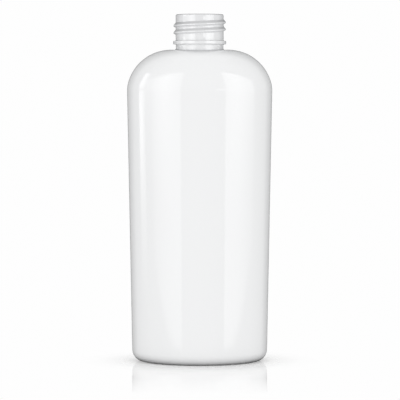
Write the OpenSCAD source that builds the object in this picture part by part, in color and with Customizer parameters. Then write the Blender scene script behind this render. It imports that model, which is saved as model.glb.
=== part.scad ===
// Oval plastic bottle with a screw neck, blown in one piece and shown without its cap.
// The origin is the middle of the base on the surface that the bottle stands on.
// X runs along the width, Y along the depth (the front faces -Y) and Z up.

/* [Body] */
// Width across the widest point, at the foot of the shoulder
body_w = 65.8; // [62:0.1:72]
// Width that the straight sides would have at floor level
base_w = 61.4; // [56:0.1:61.8]
// Depth across the widest point
body_d = 42; // [38:0.1:48]
// Height of the top of the shoulder
body_h = 141.9; // [120:0.1:170]
// Wall of the body
wall = 0.8; // [0.5:0.05:1.2]

/* [Shoulder] */
// Radius of the shoulder arc, seen from the front
shoulder_r = 20.2; // [18.5:0.1:21.5]
// Height of the widest point below the top of the shoulder
shoulder_h = 17.3; // [16:0.1:18.3]

/* [Heel and base] */
// Radius of the heel, seen from the front
heel_r = 5.1; // [2.5:0.1:7]
// Width of the flat ring that the bottle stands on
ring_w = 3; // [1.5:0.1:5]
// Rise of the hollow under the base
push_up = 2.4; // [1:0.1:4]
// Thickness of the base
base_wall = 1.3; // [0.8:0.05:2.5]
// Diameter of the moulding point in the middle of the hollow
gate_d = 3.6; // [2:0.1:6]
// Drop of the moulding point below the hollow
gate_h = 0.7; // [0.3:0.1:0.9]

/* [Neck] */
// Height of the neck above the shoulder
neck_h = 15.8; // [15:0.1:20]
// Outer diameter of the neck wall between the threads
neck_d = 21.7; // [20.6:0.1:22.4]
// Outer diameter of the neck below the bead
shank_d = 21.5; // [20.6:0.1:22.4]
// Diameter of the bore
bore_d = 18; // [15:0.1:18.8]
// Rounding of the rim's outer edge
rim_r = 0.4; // [0.2:0.05:0.8]
// Rounding of the inner edge where the bore opens into the body
throat_r = 0.7; // [0.3:0.05:0.9]
// Diameter of the bead below the thread
bead_d = 24; // [23:0.1:27]
// Thickness of the bead
bead_t = 1.5; // [1:0.1:2.5]
// Height of the underside of the bead above the shoulder
bead_h = 2.4; // [1.5:0.1:3.5]

/* [Thread] */
// Diameter over the thread
thread_d = 23.7; // [23:0.1:24.4]
// Rise of the thread in one turn
pitch = 3.175; // [2.8:0.005:3.6]
// Turns at full depth
turns = 1.5; // [1:0.05:1.6]
// Turns in which the thread fades out at each end
fade_turns = 0.13; // [0.05:0.01:0.2]
// Drop from the rim to the crest where the full thread ends
thread_drop = 3.45; // [2.8:0.05:4]
// Direction, seen from above, in which the full thread ends
thread_end_angle = 0; // [-180:5:180]
// Height of the sloping flank above the crest
flank_top = 1.15; // [0.8:0.05:1.4]
// Height of the steeper flank below the crest
flank_bottom = 0.8; // [0.5:0.05:1.1]
// Width of the crest
crest_w = 0.3; // [0.1:0.05:0.5]

/* [Hidden] */
$fn = 96;
colour = "white";

depth_ratio = body_d / body_w;
half_w = body_w / 2;
half_base = base_w / 2;
rim_z = body_h + neck_h;

// Straight side: from half_base at floor level to half_w at the widest point
widest_z = body_h - shoulder_h;
side_angle = atan((half_w - half_base) / widest_z);

// Shoulder arc: it ends level at the top and passes through the widest point
arc_z = body_h - shoulder_r;
arc_x = half_w - sqrt(pow(shoulder_r, 2) - pow(widest_z - arc_z, 2));

// Heel arc: it touches the floor and the straight side
heel_x = half_base + heel_r * tan(side_angle) - heel_r / cos(side_angle);

// Hollow under the base: an arc from the ring's inner edge to the middle
hollow_x = heel_x - ring_w;
hollow_r = (pow(hollow_x, 2) + pow(push_up, 2)) / (2 * push_up);

// The depth of the inside is set by the wall, so it has a ratio of its own
inner_ratio = (body_d / 2 - wall) / (half_w - wall);
inner_heel_r = heel_r - wall;
inner_floor = base_wall;
inner_top = body_h - wall;

thread_depth = (thread_d - neck_d) / 2;
// The thread's root lies this far inside the neck wall, so that the two are one solid
thread_sink = 0.35;
thread_steps_per_turn = 40;

// How far a cutting shape reaches past the face that it cuts
past = 1;

// Distance from the axis to the straight side at height z, less a wall's thickness
function side_x(z, inset) = half_base + z * tan(side_angle) - inset / cos(side_angle);

// Half outline of the body in the plane of its width. An inset of 0 gives the outside.
module half_outline(inset, floor_z, corner_r) {
    corner_x = side_x(floor_z + corner_r, inset) - corner_r / cos(side_angle);
    corner_z = floor_z + corner_r;
    tangent_z = corner_z - corner_r * sin(side_angle);
    arc_r = shoulder_r - inset;
    top_z = arc_z + arc_r;

    // Heel
    translate([corner_x, corner_z]) circle(corner_r);
    translate([0, floor_z]) square([corner_x, corner_r]);

    // Straight side and shoulder
    intersection() {
        polygon([
            [0, tangent_z],
            [side_x(tangent_z, inset), tangent_z],
            [side_x(top_z + past, inset), top_z + past],
            [0, top_z + past]
        ]);
        union() {
            square([half_w + past, arc_z]);
            translate([0, arc_z - past]) square([arc_x, arc_r + past]);
            translate([arc_x, arc_z]) circle(arc_r);
        }
    }
}

// Arc of the hollow under the base, grown by the base's thickness for the inside
module hollow(growth) {
    translate([0, push_up - hollow_r]) circle(hollow_r + growth);
}

// The part of a half outline at one side of the axis
module right_of_axis() {
    intersection() {
        children();
        translate([0, -rim_z]) square([body_w, 3 * rim_z]);
    }
}

// Oval solid from a half outline: a revolve in four quarters, pressed to the depth
module oval_revolve(ratio) {
    scale([1, ratio, 1])
        for (quarter = [0 : 3])
            rotate([0, 0, 90 * quarter])
                rotate_extrude(angle = 90)
                    right_of_axis()
                        children();
}

// Outside of the body
module body_outside() {
    oval_revolve(depth_ratio)
        difference() {
            half_outline(0, 0, heel_r);
            hollow(0);
        }
}

// Space inside the body, one wall smaller than the outside
module body_inside() {
    oval_revolve(inner_ratio)
        difference() {
            half_outline(wall, inner_floor, inner_heel_r);
            hollow(base_wall);
        }
}

// Point left in the middle of the hollow by the moulding gate
module gate_mark() {
    translate([0, 0, push_up - gate_h]) cylinder(d = gate_d, h = gate_h + base_wall / 2);
}

// Neck wall with its rounded rim, and the narrower shank below the bead
module neck_wall() {
    rotate_extrude() {
        translate([0, arc_z]) square([shank_d / 2, body_h + bead_h + bead_t / 2 - arc_z]);
        translate([0, body_h + bead_h + bead_t / 2])
            square([neck_d / 2, neck_h - bead_h - bead_t / 2 - rim_r]);
        translate([0, rim_z - 2 * rim_r]) square([neck_d / 2 - rim_r, 2 * rim_r]);
        right_of_axis() translate([neck_d / 2 - rim_r, rim_z - rim_r]) circle(rim_r);
    }
}

// Bead that carries the bottle in the filling line
module bead() {
    translate([0, 0, body_h + bead_h]) cylinder(d = bead_d, h = bead_t);
}

// Bore of the neck, rounded where it opens into the body
module bore() {
    translate([0, 0, arc_z]) cylinder(d = bore_d, h = rim_z + past - arc_z);
    rotate_extrude()
        difference() {
            translate([bore_d / 2 - past, inner_top - past]) square([past + throat_r, past + throat_r]);
            translate([bore_d / 2 + throat_r, inner_top + throat_r]) circle(throat_r);
        }
}

// Thread: its section is carried up a helix, and its depth grows and fades at the ends
function thread_point(turn, depth, height) =
    let (a = thread_end_angle + 360 * (turn - turns), r = neck_d / 2 + depth)
    [r * cos(a), r * sin(a), rim_z - thread_drop + pitch * (turn - turns) + height];

// Rise from 0 to 1 that starts and ends level
function smooth(x) = let (u = max(0, min(1, x))) u * u * (3 - 2 * u);

// Share of the full depth at a turn, from 0 at the tips to 1
function fullness(turn) =
    let (from_start = turn + fade_turns, to_end = turns + fade_turns - turn)
    smooth(from_start / fade_turns) * smooth(to_end / fade_turns);

// Section of the thread, from the lower root round the crest to the upper root
function thread_section(turn) =
    let (
        f = fullness(turn),
        depth = f * (thread_depth + thread_sink / 2) - thread_sink / 2,
        reach = (thread_depth + thread_sink) / thread_depth
    )
    [
        thread_point(turn, -thread_sink, -crest_w / 2 - reach * flank_bottom),
        thread_point(turn, depth, -crest_w / 2),
        thread_point(turn, depth, crest_w / 2),
        thread_point(turn, -thread_sink, crest_w / 2 + reach * flank_top)
    ];

module thread() {
    steps = ceil((turns + 2 * fade_turns) * thread_steps_per_turn);
    sections = [for (i = [0 : steps])
        thread_section(-fade_turns + i * (turns + 2 * fade_turns) / steps)];
    n = len(sections[0]);
    sides = [for (i = [0 : steps - 1], j = [0 : n - 1])
        let (a = i * n + j, b = i * n + (j + 1) % n)
        each [[a, b, b + n], [a, b + n, a + n]]];
    first = [for (j = [n - 1 : -1 : 0]) j];
    last = [for (j = [0 : n - 1]) steps * n + j];
    polyhedron([for (s = sections) each s], concat(sides, [first, last]));
}

module bottle() {
    color(colour)
        difference() {
            union() {
                body_outside();
                gate_mark();
                neck_wall();
                bead();
                thread();
            }
            body_inside();
            bore();
        }
}

bottle();
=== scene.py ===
"""Oval plastic bottle: its looks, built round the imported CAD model. Lengths in metres."""

# %% [markdown]
# # An oval plastic bottle, step by step
#
# The real thing is one blown piece of glossy white plastic: a tapering oval body, an arched
# shoulder, and a round neck with a screw thread and a bead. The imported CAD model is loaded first.
# It is the fixed frame: every size below is either read from it or written once as a named value.

# %% Load the fixed frame
import math

import bpy
import numpy as np
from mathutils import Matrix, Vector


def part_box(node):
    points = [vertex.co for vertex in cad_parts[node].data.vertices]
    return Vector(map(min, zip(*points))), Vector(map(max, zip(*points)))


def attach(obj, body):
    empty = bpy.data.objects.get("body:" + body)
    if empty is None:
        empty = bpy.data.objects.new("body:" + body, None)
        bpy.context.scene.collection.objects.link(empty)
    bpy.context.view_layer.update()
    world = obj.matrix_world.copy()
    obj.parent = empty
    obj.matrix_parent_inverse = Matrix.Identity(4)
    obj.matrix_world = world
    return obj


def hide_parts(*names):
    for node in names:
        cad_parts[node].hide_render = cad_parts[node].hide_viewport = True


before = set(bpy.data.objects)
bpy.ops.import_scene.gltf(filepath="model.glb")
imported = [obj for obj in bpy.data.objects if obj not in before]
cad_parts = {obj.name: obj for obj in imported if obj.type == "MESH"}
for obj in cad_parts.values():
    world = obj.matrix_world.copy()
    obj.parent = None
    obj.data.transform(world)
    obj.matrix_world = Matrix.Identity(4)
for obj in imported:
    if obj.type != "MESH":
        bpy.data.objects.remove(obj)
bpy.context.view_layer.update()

low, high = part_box("bottle")
print("CAD box of the bottle, mm:", [round(1000 * (b - a), 2) for a, b in zip(low, high)])

# %% [markdown]
# ## Driving sizes
#
# A bottle's drawing gives few numbers: the overall box, which comes from the frame, and the radii
# and heights that a mould maker would ask for. They are those of the CAD source, here in metres,
# but for a few of the neck's, which were measured once more in the photograph and differ by some
# tenths of a millimetre. The blend between side and shoulder, the level land round the neck and
# the small edge roundings are finer than the CAD model needs, so they are only here.

# %% Sizes of the body
MM = 0.001
HALF_WIDTH = (high[0] - low[0]) / 2
HALF_DEPTH = (high[1] - low[1]) / 2
RIM_Z = high[2]
HALF_BASE = 30.7 * MM
WALL = 0.8 * MM
BASE_WALL = 1.3 * MM
NECK_HEIGHT = 15.95 * MM
SHOULDER_RADIUS = 20.2 * MM
SHOULDER_DROP = 17.2 * MM
BLEND_RADIUS = 15.0 * MM
HEEL_RADIUS = 5.1 * MM
RING_WIDTH = 3.0 * MM
RING_EDGE = 0.12 * MM
PUSH_UP = 2.4 * MM
GATE_RADIUS = 1.8 * MM
GATE_DROP = 0.7 * MM

BODY_TOP = RIM_Z - NECK_HEIGHT
WIDEST_Z = BODY_TOP - SHOULDER_DROP
SIDE_ANGLE = math.atan((HALF_WIDTH - HALF_BASE) / WIDEST_Z)
ARC_Z = BODY_TOP - SHOULDER_RADIUS
ARC_X = HALF_WIDTH - math.sqrt(SHOULDER_RADIUS**2 - (WIDEST_Z - ARC_Z) ** 2)
DEPTH_RATIO = HALF_DEPTH / HALF_WIDTH
INNER_RATIO = (HALF_DEPTH - WALL) / (HALF_WIDTH - WALL)
print("side leans out by", round(math.degrees(SIDE_ANGLE), 2), "degrees")

# %% Sizes of the neck and its thread
NECK_RADIUS = 10.85 * MM
SHANK_RADIUS = 10.75 * MM
SHANK_FILLET = 0.65 * MM
LAND_DROP = 0.4 * MM
LAND_REACH = 2.6 * MM
LAND_TURN = 0.6
BORE_RADIUS = 9.0 * MM
BEAD_RADIUS = 12.0 * MM
BEAD_LIFT = 2.5 * MM
BEAD_THICKNESS = 1.45 * MM
BEAD_EDGE = 0.12 * MM
NECK_CORNER = 0.45 * MM
RIM_ROUNDING = 0.65 * MM
RIM_INNER_ROUNDING = 0.25 * MM
THROAT_RADIUS = 0.7 * MM
THREAD_RADIUS = 11.82 * MM
PITCH = 3.175 * MM
TURNS = 1.5
FADE_TURNS = 0.13
THREAD_DROP = 3.6 * MM
THREAD_DIP = 0.25 * MM
FLANK_TOP = 1.15 * MM
FLANK_BOTTOM = 0.5 * MM
CREST_WIDTH = 0.55 * MM
BEAD_Z = BODY_TOP + BEAD_LIFT
print("neck from", round(BODY_TOP / MM, 1), "to", round(RIM_Z / MM, 1), "mm high")

# %% [markdown]
# ## Outlines as paths of points
#
# The bottle is one skin, so it is made as one grid: an outline, from the middle of the base up the
# outside, over the rim and down the inside, carried round the axis. An outline is a chain of
# straight stretches and arcs. Two helpers draw it: one samples an arc, and one rounds the corners
# of a chain of points, as a fillet tool would. A third reads any path by its length.

# %% Helpers for outlines
def arc(centre_r, centre_z, radius, start, end, count):
    """Points at centre + radius * (cos a, sin a), with a from start to end in even steps."""
    a = np.linspace(start, end, count)
    return np.stack([centre_r + radius * np.cos(a), centre_z + radius * np.sin(a)], axis=1)


def rounded(corners, count=9):
    """A chain of (r, z, radius) corners with each inner corner replaced by an arc.

    The arc starts and ends at radius * tan(turn / 2) from the corner, where turn is the change of
    direction, and its centre lies radius to the side of the point where it starts."""
    points = np.array([c[:2] for c in corners], dtype=float)
    chain = [points[:1]]
    for before, here, after, corner in zip(points, points[1:], points[2:], corners[1:]):
        radius = corner[2]
        way_in = (here - before) / np.linalg.norm(here - before)
        way_out = (after - here) / np.linalg.norm(after - here)
        turn = math.atan2(way_in[0] * way_out[1] - way_in[1] * way_out[0], way_in @ way_out)
        if radius == 0 or abs(turn) < 1e-6:
            chain.append(here[None])
            continue
        side = math.copysign(1.0, turn)
        start = here - way_in * radius * math.tan(abs(turn) / 2)
        normal = np.array([-way_in[1], way_in[0]]) * side
        centre = start + normal * radius
        first = math.atan2(-normal[1], -normal[0])
        chain.append(arc(centre[0], centre[1], radius, first, first + turn, count))
    chain.append(points[-1:])
    return np.concatenate(chain)


def lengths(path):
    """Distance along a path at each of its points: the running sum of the steps' lengths."""
    steps = np.linalg.norm(np.diff(path, axis=0), axis=1)
    return np.concatenate([[0.0], np.cumsum(steps)])


def read_path(path, where):
    """Radii and heights of a path at the distances in where, an array of any shape."""
    s = lengths(path)
    return np.interp(where, s, path[:, 0]), np.interp(where, s, path[:, 1])


# %% [markdown]
# ## The body's outline, outside and inside
#
# Seen from the front, a straight side leans out from a rounded heel to the widest point, and an
# arch closes it to the neck. Side and arch meet at a slight angle, which the mould rounds off. The
# rounding's centre is found from two distances: its radius from the side, and the difference of
# the radii from the arch's centre. The inside is the same outline moved in by the wall.

# %% Outline of the body
HEEL_POINTS, BLEND_POINTS, ARCH_POINTS = 60, 40, 240


def body_outline(inset, floor, heel_radius):
    """Half outline (rho, z) in the plane of the width, from the floor's edge to the top.

    Straight side: rho = HALF_BASE + z tan(lean) - inset / cos(lean). Arch: a circle of radius
    SHOULDER_RADIUS - inset round (ARC_X, ARC_Z). Blend: a circle that touches both."""
    lean = SIDE_ANGLE
    out = np.array([math.cos(lean), -math.sin(lean)])
    up = np.array([math.sin(lean), math.cos(lean)])
    foot = np.array([HALF_BASE - inset / math.cos(lean), 0.0])
    arch_radius = SHOULDER_RADIUS - inset
    arch = np.array([ARC_X, ARC_Z])
    blend_radius = BLEND_RADIUS - inset
    away = (foot - arch) @ out - blend_radius
    climb = math.sqrt((arch_radius - blend_radius) ** 2 - away**2)
    centre = arch + away * out + climb * up
    start, end = -lean, math.atan2(centre[1] - arch[1], centre[0] - arch[0])
    corner = foot + up * floor / math.cos(lean)
    side_end = centre + blend_radius * out
    corners = [(0.0, floor, 0), (*corner, heel_radius), (*side_end, 0)]
    low_part = rounded(corners, HEEL_POINTS)
    blend = arc(*centre, blend_radius, start, end, BLEND_POINTS)
    dome = arc(*arch, arch_radius, end, math.pi / 2, ARCH_POINTS)
    top = np.array([[0.0, ARC_Z + arch_radius]])
    return np.concatenate([low_part, blend[1:], dome[1:], top])


outer = body_outline(0.0, 0.0, HEEL_RADIUS)
inner = body_outline(WALL, BASE_WALL, HEEL_RADIUS - WALL)
print("outline lengths, mm:", [round(lengths(path)[-1] / MM, 1) for path in (outer, inner)])

# %% [markdown]
# ## Columns
#
# The body is oval and the neck is round, yet both can share columns: every column is a straight
# ray from the axis. On the oval a ray is at the same share of the depth all the way out, so an
# oval of half width rho meets it at rho * (cos t, ratio * sin t), and a circle of radius r meets
# it where rho = r / sqrt(cos(t)^2 + ratio^2 sin(t)^2). Extra columns beside the two narrow sides
# hold the fine parting line that the two mould halves leave there.

# %% Angles of the columns
COLUMNS = 240
PARTING_OFFSETS = np.radians([0.25, 0.5, 0.85])
even = np.arange(COLUMNS) * 2 * np.pi / COLUMNS
extra = np.concatenate([side + sign * PARTING_OFFSETS for side in (0, np.pi) for sign in (-1, 1)])
oval_angle = np.sort(np.mod(np.concatenate([even, extra]), 2 * np.pi))
ray_angle = np.arctan2(DEPTH_RATIO * np.sin(oval_angle), np.cos(oval_angle))
ray = np.stack([np.cos(ray_angle), np.sin(ray_angle)])
print("columns:", oval_angle.size)


def stretch(ratio):
    """For each ray, rho / r: the half width of the oval through a point over its radius."""
    return np.sqrt(ray[0] ** 2 + (ray[1] / ratio) ** 2)


def oval_rows(rho, z, ratio):
    """Grid of points (rows, columns, 3) from grids of half widths rho and heights z."""
    r = rho / stretch(ratio)
    return np.stack([r * ray[0], r * ray[1], z], axis=2)


def round_rows(path):
    """Grid of points from a path (r, z) that is the same all round."""
    r = np.repeat(path[:, :1], oval_angle.size, axis=1)
    z = np.repeat(path[:, 1:], oval_angle.size, axis=1)
    return np.stack([r * ray[0], r * ray[1], z], axis=2)


# %% [markdown]
# ## Under the base
#
# A bottle stands on a ring, and the base rises inside it so that it can't rock. In its middle is
# the small point where the plastic was injected. The ring is oval and the point is round, so the
# rows between them start at a different half width on each ray.

# %% Rows under the base
corner_rho = outer[np.argmax(outer[:, 1] > 1e-9) - 1, 0]
hollow_rho = corner_rho - RING_WIDTH
hollow_radius = (hollow_rho**2 + PUSH_UP**2) / (2 * PUSH_UP)


def hollow_height(rho):
    """Height of the hollow under the base: an arc that is PUSH_UP high in the middle."""
    return PUSH_UP - hollow_radius + np.sqrt(hollow_radius**2 - rho**2)


GATE_FLAT = 0.8
GATE_EDGE = 0.4 * MM
GATE_FOOT = 0.1 * MM
GATE_CLEARANCE = 1.12
HOLLOW_ROWS = 18

gate_path = rounded([
    (0.0, PUSH_UP - GATE_DROP, 0),
    (GATE_RADIUS * GATE_FLAT, PUSH_UP - GATE_DROP, GATE_EDGE),
    (GATE_RADIUS, PUSH_UP - GATE_FOOT, 0),
], 5)
gate_rows = round_rows(gate_path[1:])
share = np.linspace(0, 1, HOLLOW_ROWS)[:, None]
gate_rho = GATE_RADIUS * GATE_CLEARANCE * stretch(DEPTH_RATIO)[None]
hollow_rows_rho = gate_rho + share * (hollow_rho - RING_EDGE - gate_rho)
hollow_rows = oval_rows(hollow_rows_rho, hollow_height(hollow_rows_rho), DEPTH_RATIO)
print("hollow: half width", round(hollow_rho / MM, 2), "mm, rise", round(PUSH_UP / MM, 2), "mm")

# %% [markdown]
# ## The outside of the body
#
# Rows are placed by distance along the outline: close together on the heel and far apart on the
# straight side, which needs few because it bends in one direction only.

# %% Rows of the heel and the side
RING_ROWS, HEEL_ROWS, SIDE_ROWS = 5, 18, 30
SPLIT_Z = ARC_Z + 0.5 * MM

outer_s = lengths(outer)
heel_start = outer_s[np.argmax(outer[:, 1] > 1e-9) - 1]
heel_end = heel_start + HEEL_RADIUS * (math.pi / 2 - SIDE_ANGLE)
widest = outer_s[np.argmin(np.abs(outer[:, 1] - SPLIT_Z) + (outer[:, 0] < ARC_X))]
low_s = np.concatenate([
    np.linspace(heel_start - RING_WIDTH, heel_start, RING_ROWS)[:-1],
    np.linspace(heel_start, heel_end, HEEL_ROWS)[:-1],
    np.linspace(heel_end, widest, SIDE_ROWS),
])
rho, z = read_path(outer, low_s)
columns = np.ones((1, oval_angle.size))
low_rows = oval_rows(rho[:, None] * columns, z[:, None] * columns, DEPTH_RATIO)
print("heel and side:", len(low_rows), "rows")

# %% [markdown]
# ## The shoulder and the land round the neck
#
# The shoulder falls away at the front and back of the neck, because the oval is narrow there. The
# neck, though, is shaped by a mould ring of its own with a level face, so the photograph shows a
# straight line where neck and shoulder meet. The shoulder is therefore pressed down to a level
# land close to the neck. Its rows fan in, so that the last one lies exactly on the ring where the
# neck's fillet starts, and they are closer together there.

# %% Rows of the shoulder
SHOULDER_ROWS = 58
CROWDING = 1.3


def shoulder_height(rho):
    """Height of the shoulder: level to ARC_X, then ARC_Z + sqrt(R^2 - (rho - ARC_X)^2)."""
    past_top = np.maximum(rho - ARC_X, 0)
    return ARC_Z + np.sqrt(SHOULDER_RADIUS**2 - past_top**2)


def smooth_step(x):
    """u^2 (3 - 2u), with u held between 0 and 1."""
    u = np.clip(x, 0, 1)
    return u * u * (3 - 2 * u)


def land_drop(rho):
    """How far the land lies under the shoulder: press * (smooth step of the distance).

    At the neck it brings the shoulder down to a level ring, LAND_DROP under the top, all round but
    for the two narrow sides, and the press is gone LAND_REACH further out."""
    level = BODY_TOP - LAND_DROP * smooth_step(np.abs(ray[1]) / LAND_TURN)
    press = np.maximum(shoulder_height(neck_rho) - level, 0)
    return press * smooth_step(1 - (rho / stretch(DEPTH_RATIO) - SHANK_RADIUS) / LAND_REACH)


neck_rho = SHANK_RADIUS * stretch(DEPTH_RATIO)
foot_z = shoulder_height(neck_rho) - land_drop(neck_rho)
ahead = 0.3 * MM
ahead_rho = neck_rho + ahead * stretch(DEPTH_RATIO)
foot_slope = np.arctan2(foot_z - shoulder_height(ahead_rho) + land_drop(ahead_rho), ahead)
fillet_reach = SHANK_FILLET / np.tan((math.pi / 2 + foot_slope) / 2)
fillet_rho = (SHANK_RADIUS + fillet_reach * np.cos(foot_slope)) * stretch(DEPTH_RATIO)

on_arch = outer[:, 1] > ARC_Z + MM
start_s = np.interp(-fillet_rho, -outer[on_arch, 0], outer_s[on_arch])
share = 1 - (1 - np.linspace(0, 1, SHOULDER_ROWS)[1:, None]) ** CROWDING
shoulder_s = widest + share * (start_s[None] - widest)
rho, z = read_path(outer, shoulder_s)
shoulder_rows = oval_rows(rho, z - land_drop(rho), DEPTH_RATIO)
print("neck ring lies", round((BODY_TOP - foot_z.min()) / MM, 2), "mm under the top at the front")

# %% [markdown]
# ## The fillet at the foot of the neck
#
# On each ray the shoulder leaves the neck at its own slope, so the fillet is worked out on each
# ray too: an arc of one radius that touches the upright wall and the shoulder. Its curve and the
# painted shade that the material lays on it make the soft dark line round the neck's foot.

# %% Rows of the fillet
FILLET_ROWS = 7
bend = np.linspace(1, 0, FILLET_ROWS)[:, None]
fillet_angle = np.pi + bend * (np.pi / 2 - foot_slope)[None]
fillet_r = SHANK_RADIUS + SHANK_FILLET + SHANK_FILLET * np.cos(fillet_angle)
fillet_z = (foot_z + fillet_reach)[None] + SHANK_FILLET * np.sin(fillet_angle)
fillet_rows = np.stack([fillet_r * ray[0], fillet_r * ray[1], fillet_z], axis=2)[1:]
print("fillet reaches", round(fillet_reach.max() / MM, 2), "mm up the neck")

# %% [markdown]
# ## The neck and its thread
#
# The neck's outline is a chain of corners: shank, bead, wall, rim, bore. The thread is laid on it
# as an outward shift of the wall. Its crest is a helix, so on each ray there are one or two crest
# heights, a pitch apart, and the shift depends only on the height above or below the nearest
# crest: full over the crest, and falling along a flank on each side. The ends fade in and out. In
# the photograph the crest sags a little at the front, so it does that here too.

# %% Outline of the neck
NECK_START = 1.0 * MM
THROAT_END = THROAT_RADIUS * 1.01
THREAD_STEP = 0.08 * MM
BORE_STEP = 1.2 * MM
BORE_ENDS = (BODY_TOP + 0.5 * MM, RIM_Z - 1.0 * MM)
OUTSIDE_FROM = BORE_RADIUS * 1.05
BORE_UP_TO = BORE_RADIUS * 1.0001

neck_path = rounded([
    (SHANK_RADIUS, BODY_TOP + NECK_START, 0),
    (SHANK_RADIUS, BEAD_Z, NECK_CORNER),
    (BEAD_RADIUS, BEAD_Z, BEAD_EDGE),
    (BEAD_RADIUS, BEAD_Z + BEAD_THICKNESS, BEAD_EDGE),
    (NECK_RADIUS, BEAD_Z + BEAD_THICKNESS, NECK_CORNER),
    (NECK_RADIUS, RIM_Z, RIM_ROUNDING),
    (BORE_RADIUS, RIM_Z, RIM_INNER_ROUNDING),
    (BORE_RADIUS, BODY_TOP - WALL, THROAT_RADIUS),
    (BORE_RADIUS + THROAT_END, BODY_TOP - WALL, 0),
], 6)
full_end = RIM_Z - THREAD_DROP
thread_low = full_end - THREAD_DIP - PITCH * (TURNS + FADE_TURNS) - CREST_WIDTH - FLANK_BOTTOM
thread_high = full_end + THREAD_DIP + PITCH * FADE_TURNS + CREST_WIDTH + FLANK_TOP


def sorted_pairs(x, y):
    """Both arrays in the order of x."""
    order = np.argsort(x, kind="stable")
    return x[order], y[order]


def with_rows(path, outer_side, z_low, z_high, step):
    """The path with extra points, step apart, on its upright stretch between two heights."""
    s = lengths(path)
    r, z = path[:, 0], path[:, 1]
    on_side = (r > OUTSIDE_FROM) if outer_side else (r < BORE_UP_TO)
    s_low, s_high = sorted(np.interp([z_low, z_high], *sorted_pairs(z[on_side], s[on_side])))
    new = np.arange(s_low, s_high, step)
    return np.stack(read_path(path, np.unique(np.concatenate([s, new]))), axis=1)


neck_path = with_rows(neck_path, True, thread_low, thread_high, THREAD_STEP)
neck_path = with_rows(neck_path, False, *BORE_ENDS, BORE_STEP)
print("rows in the neck:", len(neck_path))

# %% The thread's helix
ROUNDING = 0.07
WALL_TOLERANCE = 0.01 * MM


def soft_rise(x):
    """A rise from 0 to 1 over 0 < x < 1, rounded: w log((1 + e^(x/w)) / (1 + e^((x-1)/w)))."""
    return ROUNDING * (np.logaddexp(0, x / ROUNDING) - np.logaddexp(0, (x - 1) / ROUNDING))


def thread_shift(angle, z):
    """Outward shift of the wall at an angle and height: depth * fade * flank, over all turns.

    Height of the crest: full_end + PITCH * (turns from the end) + THREAD_DIP * sin(angle)."""
    total = np.zeros(np.broadcast(angle, z).shape)
    for whole_turn in (-2, -1, 0, 1):
        turn = TURNS + angle / (2 * np.pi) + whole_turn
        fade = smooth_step((turn + FADE_TURNS) / FADE_TURNS)
        fade = fade * smooth_step((TURNS + FADE_TURNS - turn) / FADE_TURNS)
        over = z - (full_end + PITCH * (turn - TURNS) + THREAD_DIP * np.sin(angle))
        above = 1 - (over - CREST_WIDTH / 2) / FLANK_TOP
        below = 1 + (over + CREST_WIDTH / 2) / FLANK_BOTTOM
        total += fade * np.minimum(soft_rise(above), soft_rise(below))
    return (THREAD_RADIUS - NECK_RADIUS) * total


wall_foot = BEAD_Z + BEAD_THICKNESS + NECK_CORNER
on_wall = (neck_path[:, 0] > NECK_RADIUS - WALL_TOLERANCE) & (neck_path[:, 1] > wall_foot)
shift = thread_shift(np.mod(ray_angle, 2 * np.pi)[None], neck_path[:, 1:]) * on_wall[:, None]
neck_r = neck_path[:, :1] + shift
neck_z = np.repeat(neck_path[:, 1:], oval_angle.size, axis=1)
neck_rows = np.stack([neck_r * ray[0], neck_r * ray[1], neck_z], axis=2)[1:]
print("thread stands out by", round(shift.max() / MM, 2), "mm")

# %% [markdown]
# ## The inside
#
# The bottle is open, so its inside shows through the mouth, and its wall has a real thickness.
# The inner rows run from the foot of the bore out under the shoulder, down the sides and in to
# the middle of the base.

# %% Rows of the inside
THROAT_CLEARANCE = 1.3
INNER_SHOULDER_ROWS, INNER_SIDE_ROWS, INNER_HEEL_ROWS, INNER_FLOOR_ROWS = 26, 14, 9, 12

inner_s = lengths(inner)
is_dome, is_side = inner[:, 1] > ARC_Z + MM, inner[:, 0] > ARC_X
throat_rho = (BORE_RADIUS + THROAT_RADIUS * THROAT_CLEARANCE) * stretch(INNER_RATIO)
inner_start = np.interp(-throat_rho, -inner[is_dome, 0], inner_s[is_dome])
inner_widest = np.interp(ARC_Z, inner[is_side, 1], inner_s[is_side])
share = np.linspace(1, 0, INNER_SHOULDER_ROWS)[:, None]
rho, z = read_path(inner, inner_widest + share * (inner_start[None] - inner_widest))
inner_shoulder = oval_rows(rho, z, INNER_RATIO)

inner_heel_start = inner_s[np.argmax(inner[:, 1] > BASE_WALL + 1e-9) - 1]
inner_heel_end = inner_heel_start + (HEEL_RADIUS - WALL) * (math.pi / 2 - SIDE_ANGLE)
down_s = np.concatenate([
    np.linspace(inner_widest, inner_heel_end, INNER_SIDE_ROWS)[1:-1],
    np.linspace(inner_heel_end, inner_heel_start, INNER_HEEL_ROWS),
    np.linspace(inner_heel_start, 0, INNER_FLOOR_ROWS)[1:-1],
])
rho, z = read_path(inner, down_s)
domed = np.where(rho < hollow_rho, hollow_height(np.minimum(rho, hollow_rho)) + BASE_WALL, z)
inner_z = np.maximum(z, domed)
inner_low = oval_rows(rho[:, None] * columns, inner_z[:, None] * columns, INNER_RATIO)
inner_count = len(inner_shoulder) + len(inner_low)
print("inside:", inner_count, "rows, floor at", round(inner_z.min() / MM, 2), "mm")

# %% [markdown]
# ## The parting line
#
# The two halves of a mould never close perfectly, and a hair's breadth of plastic marks the seam
# up both narrow sides, over the shoulder. It is a shift along the surface's own direction, made
# from the distance to the plane of the seam, and it fades out at the heel.

# %% Lay the seam on the outside
SEAM_HEIGHT = 0.05 * MM
SEAM_HALF_WIDTH = 0.13 * MM
SEAM_END = 2 * MM
SEAM_PAST_TOP = 0.2 * MM
HEEL_SHARE = 0.6


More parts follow.
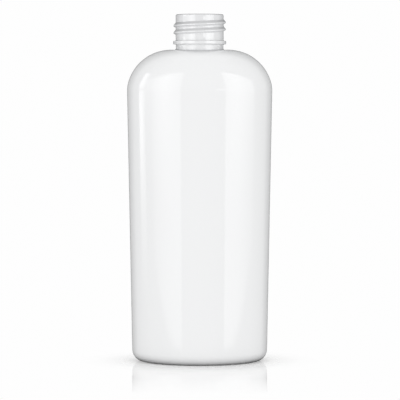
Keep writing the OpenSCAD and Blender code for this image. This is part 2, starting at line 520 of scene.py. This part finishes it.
def directions(grid):
    """Unit normals of a grid of points: the cross product of its column and row directions."""
    along = np.gradient(grid, axis=0)
    around = np.roll(grid, -1, axis=1) - np.roll(grid, 1, axis=1)
    n = np.cross(around, along)
    return n / np.maximum(np.linalg.norm(n, axis=2, keepdims=True), 1e-12)


outside = np.concatenate([low_rows, shoulder_rows, fillet_rows])
seam = SEAM_HEIGHT * np.exp(-((outside[..., 1] / SEAM_HALF_WIDTH) ** 2))
seam *= smooth_step((outside[..., 2] - HEEL_RADIUS * HEEL_SHARE) / HEEL_RADIUS)
seam *= smooth_step((BODY_TOP - outside[..., 2] + SEAM_PAST_TOP) / SEAM_END)
outside = outside + directions(outside) * seam[..., None]
print("seam stands out by", round(seam.max() / MM, 3), "mm")

# %% [markdown]
# ## One closed skin
#
# All rows are stacked into one grid, each quad joins two rows and two columns, and a fan of
# triangles closes the middle of the base outside and inside. No edge is left open, so the mesh is
# a true solid that could be printed.

# %% Join the rows into a mesh
grid = np.concatenate([gate_rows, hollow_rows, outside, neck_rows, inner_shoulder, inner_low])
rows, cols = grid.shape[:2]
bottom_point = np.array([[0.0, 0.0, PUSH_UP - GATE_DROP]])
floor_point = np.array([[0.0, 0.0, PUSH_UP + BASE_WALL]])
vertices = np.concatenate([grid.reshape(-1, 3), bottom_point, floor_point])

here = np.arange(cols)
after = (here + 1) % cols
row_start = (np.arange(rows - 1) * cols)[:, None]
next_row = row_start + cols
quads = np.stack([row_start + here, row_start + after, next_row + after, next_row + here], axis=2)
quads = quads.reshape(-1, 4)
bottom_fan = np.stack([np.full(cols, rows * cols), after, here], axis=1)
last_row = (rows - 1) * cols
floor_fan = np.stack([np.full(cols, rows * cols + 1), last_row + here, last_row + after], axis=1)


def make_piece(name, points, quad_faces, triangle_faces):
    """A mesh object at the origin from arrays of points, quads and triangles, shaded smooth."""
    mesh = bpy.data.meshes.new(name)
    corners = np.concatenate([quad_faces.ravel(), triangle_faces.ravel()])
    sizes = np.concatenate([np.full(len(quad_faces), 4), np.full(len(triangle_faces), 3)])
    mesh.vertices.add(len(points))
    mesh.vertices.foreach_set("co", points.ravel())
    mesh.loops.add(len(corners))
    mesh.loops.foreach_set("vertex_index", corners)
    mesh.polygons.add(len(sizes))
    mesh.polygons.foreach_set("loop_start", np.concatenate([[0], np.cumsum(sizes)[:-1]]))
    mesh.polygons.foreach_set("use_smooth", np.ones(len(sizes), dtype=bool))
    mesh.update(calc_edges=True)
    mesh.validate()
    piece = bpy.data.objects.new(name, mesh)
    bpy.context.scene.collection.objects.link(piece)
    return piece


shell = make_piece("bottle_shell", vertices, quads, np.concatenate([bottom_fan, floor_fan]))
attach(shell, "root")
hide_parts("bottle")

print("shell:", rows, "rows,", cols, "columns,", 2 * len(quads) + 2 * cols, "triangles")

# %% [markdown]
# ## The neck's grey and coat, with painted shade and light
#
# The neck's wall is twice as thick as the body's, and in the photograph it looks greyer and
# glossier. Two values on the points say how much: one for the grey and one for the clear coat.
# Both fade out on the land round the neck, where the grey is painted shade at the neck's foot.
# The grey is weaker low on the neck and on the flat of the rim. On the shank under the bead it is
# gone, a painted light that makes the shank as white as the body, and the coat is less there.

# %% Neck grey, painted shade and coat on the points
LAND_SHARE = 0.8
LOW_LOSS = 0.35
RIM_LOSS = 0.6
SHANK_COAT_LOSS = 0.4


def between(value, start, width):
    """Smooth step of a height from 0 at start to 1 at start + width, both in millimetres."""
    return smooth_step((value - start * MM) / (width * MM))


neck_start = len(gate_rows) + len(hollow_rows) + len(low_rows) + len(shoulder_rows)
neck_end = neck_start + len(fillet_rows) + len(neck_rows)
height = vertices[:, 2]
from_neck = np.hypot(vertices[:, 0], vertices[:, 1]) - SHANK_RADIUS - SHANK_FILLET
coat = np.zeros(len(vertices))
coat[neck_start * cols:neck_end * cols] = 1.0
on_shoulder = slice((neck_start - len(shoulder_rows)) * cols, neck_start * cols)
# Painted shade: the neck's grey, and with it the painted slope shade, reaches out over the land at
# the neck's foot.
coat[on_shoulder] = LAND_SHARE * smooth_step(1 - from_neck[on_shoulder] / LAND_REACH)
# Painted light: the shank gets no grey, so it is as white as the body.
on_shank = between(height - BODY_TOP, 0.35, 0.5) * between(BEAD_Z - height, 0, 0.4)
low_on_neck = between(RIM_Z - height, 3, 9) * between(height - BODY_TOP, 0, 2)
neck_grey_and_painted_shade = coat * (1 - on_shank) * (1 - LOW_LOSS * low_on_neck)
neck_grey_and_painted_shade *= 1 - RIM_LOSS * between(height - RIM_Z, -0.1, 0.1)
coat *= 1 - SHANK_COAT_LOSS * on_shank
for name, values in (("coat", coat), ("neck_grey_and_painted_shade", neck_grey_and_painted_shade)):
    shell.data.attributes.new(name, "FLOAT", "POINT").data.foreach_set("value", values)
print("points with the neck's finish:", int((coat > 0).sum()), "of", len(vertices))

# %% [markdown]
# ## White plastic
#
# Polyester from a polished mould is as smooth as glass, but it is never perfect: the blown wall
# has a very faint waviness that softens reflections, and handling leaves a slight haze. The waves
# are a bump from a noise, and the haze is a small change of roughness. Both are in one node group,
# so that a second plastic could share them.
#
# The neck mixes towards its own grey by a value on the points, which also paints shade round its
# foot. Its slopes that face up, and a little those that face down, are painted darker by the
# direction of their normal: painted shade, not a colour of the plastic. The clear coat adds a
# second gloss where the wall is seen straight on, and nothing at the edges of the neck, where the
# photograph has only a faint strip.

# %% A helper for ramps
def ramp(nodes, stops):
    """A colour ramp node from (position, grey) pairs, with straight lines between the stops."""
    node = nodes.new("ShaderNodeValToRGB")
    node.color_ramp.interpolation = "LINEAR"
    elements = node.color_ramp.elements
    for position, _ in stops[2:]:
        elements.new(position)
    for element, (position, grey) in zip(elements, sorted(stops)):
        element.position = position
        element.color = (grey, grey, grey, 1.0)
    return node


# %% A node group for the moulded skin
SKIN_INPUTS = (("Wave Scale", 120.0), ("Wave Strength", 0.02), ("Gloss", 0.045), ("Haze", 0.03))
WAVE_DEPTH = 0.5 * MM
WAVE_DETAIL = 1.0
HAZE_SCALE = 45.0
HAZE_DETAIL = 4.0


def moulded_skin_group():
    """Group moulded_skin. Roughness = Gloss + Haze * noise, and Normal is a bump from a noise."""
    group = bpy.data.node_groups.new("moulded_skin", "ShaderNodeTree")
    face = group.interface
    for name, default in SKIN_INPUTS:
        socket = face.new_socket(name, in_out="INPUT", socket_type="NodeSocketFloat")
        socket.default_value = default
    face.new_socket("Roughness", in_out="OUTPUT", socket_type="NodeSocketFloat")
    face.new_socket("Normal", in_out="OUTPUT", socket_type="NodeSocketVector")
    nodes, links = group.nodes, group.links
    given, out = nodes.new("NodeGroupInput"), nodes.new("NodeGroupOutput")
    place = nodes.new("ShaderNodeTexCoord")
    waves, haze = nodes.new("ShaderNodeTexNoise"), nodes.new("ShaderNodeTexNoise")
    haze.inputs["Scale"].default_value = HAZE_SCALE
    haze.inputs["Detail"].default_value = HAZE_DETAIL
    waves.inputs["Detail"].default_value = WAVE_DETAIL
    links.new(place.outputs["Object"], waves.inputs["Vector"])
    links.new(place.outputs["Object"], haze.inputs["Vector"])
    links.new(given.outputs["Wave Scale"], waves.inputs["Scale"])
    bump = nodes.new("ShaderNodeBump")
    bump.inputs["Distance"].default_value = WAVE_DEPTH
    links.new(given.outputs["Wave Strength"], bump.inputs["Strength"])
    links.new(waves.outputs["Fac"], bump.inputs["Height"])
    spread = nodes.new("ShaderNodeMath")
    spread.operation = "MULTIPLY_ADD"
    links.new(haze.outputs["Fac"], spread.inputs[0])
    links.new(given.outputs["Haze"], spread.inputs[1])
    links.new(given.outputs["Gloss"], spread.inputs[2])
    links.new(spread.outputs[0], out.inputs["Roughness"])
    links.new(bump.outputs["Normal"], out.inputs["Normal"])
    return group


# %% The bottle's material
PLASTIC_IOR = 1.57
COAT_IOR = 1.5
COAT_ROUGHNESS = 0.04
BODY_WHITE = (0.90, 0.905, 0.91, 1.0)
NECK_WHITE = (0.81, 0.815, 0.825, 1.0)
# Painted shade: neck slopes that face up, and a little those that face down, go towards this grey.
PAINTED_SLOPE_SHADE = (0.53, 0.535, 0.545, 1.0)
SLOPE_SHADE = [(0.0, 0.1), (0.25, 0.1), (0.42, 0.0), (0.58, 0.0), (0.8, 0.9), (1.0, 1.0)]
COAT_BY_TILT = [(0.0, 1.0), (0.16, 1.0), (0.26, 0.4), (0.6, 0.0), (1.0, 0.0)]


def white_plastic():
    """Base colour: body to neck by the point value, neck to painted shade by (normal's Z + 1) / 2.

    Coat: the coat attribute times a ramp over how far the face is turned from the view."""
    material = bpy.data.materials.new("white_plastic")
    material.use_nodes = True
    nodes, links = material.node_tree.nodes, material.node_tree.links
    plastic = nodes["Principled BSDF"]
    plastic.inputs["IOR"].default_value = PLASTIC_IOR
    plastic.inputs["Coat IOR"].default_value = COAT_IOR
    plastic.inputs["Coat Roughness"].default_value = COAT_ROUGHNESS
    skin = nodes.new("ShaderNodeGroup")
    skin.node_tree = moulded_skin_group()
    links.new(skin.outputs["Roughness"], plastic.inputs["Roughness"])
    links.new(skin.outputs["Normal"], plastic.inputs["Normal"])

    neck_grey_and_painted_shade, coat = nodes.new("ShaderNodeAttribute"), nodes.new("ShaderNodeAttribute")
    neck_grey_and_painted_shade.attribute_name, coat.attribute_name = "neck_grey_and_painted_shade", "coat"
    place, split = nodes.new("ShaderNodeTexCoord"), nodes.new("ShaderNodeSeparateXYZ")
    slope, shade = nodes.new("ShaderNodeMapRange"), ramp(nodes, SLOPE_SHADE)
    slope.inputs["From Min"].default_value = -1.0
    neck_with_painted_shade, white = nodes.new("ShaderNodeMix"), nodes.new("ShaderNodeMix")
    neck_with_painted_shade.data_type = white.data_type = "RGBA"
    neck_with_painted_shade.inputs["A"].default_value = NECK_WHITE
    neck_with_painted_shade.inputs["B"].default_value = PAINTED_SLOPE_SHADE
    white.inputs["A"].default_value = BODY_WHITE
    # Painted shade: the normal's Z sets how far the neck goes towards the dark slope grey.
    links.new(place.outputs["Normal"], split.inputs["Vector"])
    links.new(split.outputs["Z"], slope.inputs["Value"])
    links.new(slope.outputs["Result"], shade.inputs["Fac"])
    links.new(shade.outputs["Color"], neck_with_painted_shade.inputs["Factor"])
    links.new(neck_with_painted_shade.outputs["Result"], white.inputs["B"])
    # The factor is the neck's grey together with painted shade round the neck's foot.
    links.new(neck_grey_and_painted_shade.outputs["Fac"], white.inputs["Factor"])
    links.new(white.outputs["Result"], plastic.inputs["Base Color"])

    turned, by_tilt = nodes.new("ShaderNodeLayerWeight"), ramp(nodes, COAT_BY_TILT)
    coat_weight = nodes.new("ShaderNodeMath")
    coat_weight.operation = "MULTIPLY"
    links.new(turned.outputs["Facing"], by_tilt.inputs["Fac"])
    links.new(by_tilt.outputs["Color"], coat_weight.inputs[0])
    links.new(coat.outputs["Fac"], coat_weight.inputs[1])
    links.new(coat_weight.outputs["Value"], plastic.inputs["Coat Weight"])
    return material


shell.data.materials.append(white_plastic())
print("materials on the shell:", [m.name for m in shell.data.materials])

# %% [markdown]
# ## Floor
#
# The bottle stands on white, with a tight soft shadow round its foot and a faint mirror image in
# front that fades away. The floor is therefore a small oval sheet that grows clear towards its
# edge, where the white of the room takes over. Near the foot it is matt and takes the shadow, and
# further out it is a weak mirror. What the bottle itself sees of it is painted shade: a plain
# grey, dark under the foot, so that the line of contact is crisp, and lighter just outside.

# %% The floor's fade
FLOOR_REACH = 4.8
FOOT = (30.7 * MM, 19.6 * MM)
FLOOR_WHITE = (0.93, 0.93, 0.93, 1)
MIRROR_SHARE = [(0, 0.24), (1.75, 0.28), (2.2, 0.38), (2.8, 0.48), (3.5, 0.28), (4.752, 0)]
MATT_SHARE = [(0, 0.5), (1, 0.5), (1.1, 0.33), (1.25, 0.2), (1.5, 0.05), (1.8, 0)]
# Painted shade: what the bottle sees of the floor is a grey sheet, near black under its foot.
PAINTED_SHADE_SHARE = [(0, 1), (1.02, 1), (1.3, 0)]
PAINTED_FLOOR_SHADE = [(0, 0.02), (0.95, 0.02), (1.06, 0.35)]


def floor_material():
    """Clear, mirror and matt shaders mixed by r = |(x / foot x, y / foot y)|, in foot radii."""
    material = bpy.data.materials.new("studio_floor")
    material.use_nodes = True
    nodes, links = material.node_tree.nodes, material.node_tree.links
    nodes.clear()
    place, scale = nodes.new("ShaderNodeTexCoord"), nodes.new("ShaderNodeMapping")
    size = nodes.new("ShaderNodeVectorMath")
    scale.inputs["Scale"].default_value = (1 / FOOT[0] / FLOOR_REACH, 1 / FOOT[1] / FLOOR_REACH, 0)
    size.operation = "LENGTH"
    links.new(place.outputs["Object"], scale.inputs["Vector"])
    links.new(scale.outputs["Vector"], size.inputs[0])

    def by_distance(stops):
        """A ramp over the distance from the middle, with its stops in foot radii."""
        node = ramp(nodes, [(radii / FLOOR_REACH, value) for radii, value in stops])
        links.new(size.outputs["Value"], node.inputs["Fac"])
        return node.outputs["Color"]

    def mixed(factor, first, second):
        """A mix of two shaders: first where the factor is 0, second where it is 1."""
        node = nodes.new("ShaderNodeMixShader")
        for socket, source in zip(node.inputs, (factor, first, second)):
            links.new(source, socket)
        return node.outputs[0]

    clear, mirror = nodes.new("ShaderNodeBsdfTransparent"), nodes.new("ShaderNodeBsdfGlossy")
    matt, grey = nodes.new("ShaderNodeBsdfDiffuse"), nodes.new("ShaderNodeBsdfDiffuse")
    mirror.inputs["Roughness"].default_value = 0.0
    mirror.inputs["Color"].default_value = (1, 1, 1, 1)
    matt.inputs["Color"].default_value = FLOOR_WHITE
    links.new(by_distance(PAINTED_FLOOR_SHADE), grey.inputs["Color"])
    seen = mixed(by_distance(MIRROR_SHARE), clear.outputs[0], mirror.outputs[0])
    seen = mixed(by_distance(MATT_SHARE), seen, matt.outputs[0])
    # Painted shade: the bottle's own rays see a dark grey sheet round the foot instead of the lit
    # floor.
    painted_shade_sheet = mixed(by_distance(PAINTED_SHADE_SHARE), clear.outputs[0], grey.outputs[0])
    path, out = nodes.new("ShaderNodeLightPath"), nodes.new("ShaderNodeOutputMaterial")
    links.new(mixed(path.outputs["Is Camera Ray"], painted_shade_sheet, seen), out.inputs["Surface"])
    return material


# %% The floor's sheet
FLOOR_CORNERS = 96

turn = np.linspace(0, 2 * np.pi, FLOOR_CORNERS + 1)[:-1]
edge = FLOOR_REACH * np.stack([FOOT[0] * np.cos(turn), FOOT[1] * np.sin(turn), 0 * turn], axis=1)
floor_mesh = bpy.data.meshes.new("studio_floor")
floor_mesh.from_pydata(edge, [], [tuple(range(len(edge)))])
floor = bpy.data.objects.new("studio_floor", floor_mesh)
bpy.context.scene.collection.objects.link(floor)
floor_mesh.materials.append(floor_material())
print("floor sheet:", [round(2 * FLOOR_REACH * f / MM) for f in FOOT], "mm")

# %% [markdown]
# ## The room
#
# The room is white where the camera looks at it, and the floor's mirror shows the same white. Its
# light on the bottle depends on the direction. For the gloss it is dim at the camera's side,
# between the soft boxes, bright at the sides, and dark behind, as in a studio where black flags
# stand beside the backdrop. The flags are what draws the fine dark line along the edges. How far
# a direction is turned to the back is its Y. The matt light has a ramp of its own.

# %% The world
WHITE = 0.99
GLOSS_LIGHT = [(0.0, 0.52), (0.12, 0.62), (0.2, 0.78), (0.32, 1.04), (0.5, 1.0),
               (0.66, 0.83), (0.74, 0.2), (0.82, 0.05), (0.9, 0.1), (1.0, 0.18)]
MATT_LIGHT = [(0.0, 0.83), (0.3, 0.83), (0.4, 0.45), (0.58, 0.45), (0.66, 0.7), (1.0, 0.75)]


def studio_world():
    """Radiance by (Y + 1) / 2 of the direction, 0 at the camera's side and 1 behind.

    Camera rays and the floor's mirror see WHITE, glossy rays GLOSS_LIGHT, the rest MATT_LIGHT."""
    world = bpy.data.worlds.new("studio")
    world.use_nodes = True
    world.cycles.sampling_method = "NONE"
    nodes, links = world.node_tree.nodes, world.node_tree.links
    nodes.clear()
    place, split = nodes.new("ShaderNodeTexCoord"), nodes.new("ShaderNodeSeparateXYZ")
    back, path = nodes.new("ShaderNodeMapRange"), nodes.new("ShaderNodeLightPath")
    back.inputs["From Min"].default_value = -1.0
    links.new(place.outputs["Generated"], split.inputs["Vector"])
    links.new(split.outputs["Y"], back.inputs["Value"])
    gloss, rest = ramp(nodes, GLOSS_LIGHT), ramp(nodes, MATT_LIGHT)
    links.new(back.outputs["Result"], gloss.inputs["Fac"])
    links.new(back.outputs["Result"], rest.inputs["Fac"])
    seen = nodes.new("ShaderNodeMath")
    seen.operation = "MAXIMUM"
    links.new(path.outputs["Is Camera Ray"], seen.inputs[0])
    links.new(path.outputs["Is Singular Ray"], seen.inputs[1])
    kind, whole = nodes.new("ShaderNodeMix"), nodes.new("ShaderNodeMix")
    kind.data_type = whole.data_type = "RGBA"
    whole.inputs["B"].default_value = (WHITE, WHITE, WHITE, 1.0)
    links.new(path.outputs["Is Glossy Ray"], kind.inputs["Factor"])
    links.new(rest.outputs["Color"], kind.inputs["A"])
    links.new(gloss.outputs["Color"], kind.inputs["B"])
    links.new(seen.outputs["Value"], whole.inputs["Factor"])
    links.new(kind.outputs["Result"], whole.inputs["A"])
    light, out = nodes.new("ShaderNodeBackground"), nodes.new("ShaderNodeOutputWorld")
    links.new(whole.outputs["Result"], light.inputs["Color"])
    links.new(light.outputs["Background"], out.inputs["Surface"])
    return world


bpy.context.scene.world = studio_world()
print("room: white", WHITE, "for the camera; flags down to", min(v for _, v in GLOSS_LIGHT))

# %% [markdown]
# ## Soft boxes
#
# Three upright soft boxes stand in front of the bottle: a wide one on each side of the camera and
# a narrow one far to the left. They reach from below the table to well above the bottle, so their
# reflections run down the whole body and end in a corner on the shoulder. Each is given by the
# directions of its two sides, and by its height above and below the middle of the bottle. The
# cloth of a soft box is brighter before its bulb, so each has a core that only the gloss shows.
# A bar crosses the strip at the height that the neck mirrors, where the photograph has only a
# faint strip, and a small core beside the camera widens the right band on the neck alone.

# %% Upright lamps
BOX_DISTANCE = 1.2
BOX_LIFT = 0.06
CORE_SETBACK = 0.04


def soft_box(name, azimuths, facing, elevations, strength, across, upward, core=False):
    """An upright area lamp that fills a range of azimuths, in degrees, seen from the bottle.

    It lies in the plane at distance d whose normal has the azimuth facing, so a side at azimuth a
    is d tan(a - facing) along it, and an edge at elevation e along the normal is d tan(e) up.
    Its brightness is strength * across(u) * upward(v), with u from left to right and v upwards."""
    distance = BOX_DISTANCE + (CORE_SETBACK if core else 0)
    normal = math.radians(facing)
    first, last = (distance * math.tan(math.radians(a) - normal) for a in azimuths)
    bottom, top = (distance * math.tan(math.radians(a)) for a in elevations)
    middle, width = (first + last) / 2, last - first
    lamp = bpy.data.lights.new(name, "AREA")
    lamp.shape = "RECTANGLE"
    lamp.size, lamp.size_y = width, top - bottom
    lamp.energy = strength * width * (top - bottom) * math.pi
    lamp.use_nodes = True
    nodes, links = lamp.node_tree.nodes, lamp.node_tree.links
    place, split = nodes.new("ShaderNodeNewGeometry"), nodes.new("ShaderNodeSeparateXYZ")
    share = nodes.new("ShaderNodeMath")
    share.operation = "MULTIPLY"
    links.new(place.outputs["Parametric"], split.inputs["Vector"])
    for axis, stops, socket in (("X", across, 0), ("Y", upward, 1)):
        level = ramp(nodes, stops)
        links.new(split.outputs[axis], level.inputs["Fac"])
        links.new(level.outputs["Color"], share.inputs[socket])
    links.new(share.outputs["Value"], nodes["Emission"].inputs["Strength"])
    thing = bpy.data.objects.new(name, lamp)
    thing.location = (distance * math.sin(normal) + middle * math.cos(normal),
                      middle * math.sin(normal) - distance * math.cos(normal),
                      (top + bottom) / 2 + BOX_LIFT)
    thing.rotation_euler = (math.pi / 2, 0, normal)
    thing.visible_camera = False
    thing.visible_diffuse = not core
    bpy.context.scene.collection.objects.link(thing)
    print(name, "is", round(width, 2), "m wide and", round(top - bottom, 2), "m tall")
    return thing


# %% The boxes
BOX_HEIGHTS, STRIP_HEIGHTS, NECK_BAND = (-13.0, 43.0), (-12.0, 36.0), (4.3, 7.0)
EVEN = [(0.0, 1.0), (1.0, 1.0)]
STRIP_BAR = [(0.295, 1.0), (0.31, 0.35), (0.36, 0.35), (0.375, 1.0), (1.0, 1.0)]
STRIP_RISE = [(0.05, 0.0), (0.14, 0.7), (0.2, 1.0)] + STRIP_BAR
LEFT_FADE = [(0.0, 0.35), (0.49, 0.85), (0.72, 1.0), (1.0, 1.0)]
RIGHT_FADE = [(0.0, 1.0), (0.25, 1.0), (0.37, 0.85), (0.6, 0.5), (1.0, 0.25)]
soft_box("soft_box_left", (-58, -20), 0, BOX_HEIGHTS, 0.89, LEFT_FADE, EVEN)
soft_box("soft_box_right", (28, 72), 10, BOX_HEIGHTS, 1.09, RIGHT_FADE, EVEN)
soft_box("strip_left", (-87, -73), -80, STRIP_HEIGHTS, 1.1, EVEN, STRIP_RISE)

# %% Their cores
CORE_RISE = [(0.11, 0.0), (0.165, 0.4), (0.2, 0.7), (0.25, 1.0)]
BULB_RISE = [(0.14, 0.0), (0.22, 1.0)] + STRIP_BAR
LEFT_CORE = [(0.0, 0.75), (0.6, 0.8), (0.8, 1.0), (1.0, 0.1)]
RIGHT_CORE = [(0.0, 0.1), (0.11, 0.6), (0.23, 0.9), (0.4, 0.8), (1.0, 0.9)]
STRIP_CORE = [(0.0, 1.0), (0.6, 1.0), (1.0, 0.2)]
soft_box("core_left", (-75, -21), -10, BOX_HEIGHTS, 1.08, LEFT_CORE, CORE_RISE, core=True)
soft_box("core_right", (26, 72), 10, BOX_HEIGHTS, 0.9, RIGHT_CORE, CORE_RISE, core=True)
soft_box("core_strip", (-88, -75), -82, STRIP_HEIGHTS, 1.45, STRIP_CORE, BULB_RISE, core=True)
soft_box("core_neck", (18, 27), 20, NECK_BAND, 1.6, EVEN, EVEN, core=True)

# %% [markdown]
# ## A lamp overhead
#
# A wide weak lamp hangs over the table. It fills the top of the shoulder and presses the shadow
# close to the foot.

# %% The lamp
OVERHEAD_WIDTH, OVERHEAD_DEPTH, OVERHEAD_Z = 1.0, 0.6, 1.3
OVERHEAD_STRENGTH = 0.31

overhead = bpy.data.lights.new("overhead", "AREA")
overhead.shape = "RECTANGLE"
overhead.size, overhead.size_y = OVERHEAD_WIDTH, OVERHEAD_DEPTH
overhead.energy = OVERHEAD_STRENGTH * OVERHEAD_WIDTH * OVERHEAD_DEPTH * math.pi
overhead_lamp = bpy.data.objects.new("overhead", overhead)
overhead_lamp.location = (0, 0, OVERHEAD_Z)
overhead_lamp.visible_camera = False
bpy.context.scene.collection.objects.link(overhead_lamp)
print("overhead lamp:", round(overhead.energy, 2), "W")

# %% [markdown]
# ## Camera
#
# The photograph looks level at the shoulder and a little down on the base, from far enough that
# the sides stay straight. Distance, height, tilt and lens were found by matching the rim's and the
# base's curves.

# %% Camera
SENSOR_MM = 36.0
EYE = (0.00016, -0.8448, 0.1281)
TILT = math.radians(3.694)
FOCAL_PIXELS = 1859.0
PICTURE_PIXELS = 400.0

camera_data = bpy.data.cameras.new("camera")
camera_data.sensor_width = SENSOR_MM
camera_data.lens = SENSOR_MM * FOCAL_PIXELS / PICTURE_PIXELS
camera = bpy.data.objects.new("camera", camera_data)
camera.location = EYE
camera.rotation_euler = (math.pi / 2 - TILT, 0, 0)
bpy.context.scene.collection.objects.link(camera)
bpy.context.scene.camera = camera
print("lens", round(camera_data.lens, 1), "mm")

# %% [markdown]
# ## View settings
#
# The plain view shows a colour of 0.5 as 0.5, with no film curve, so the whites above are the
# whites in the picture.

# %% View settings
bpy.context.scene.view_settings.view_transform = "Standard"
print("view:", bpy.context.scene.view_settings.view_transform)
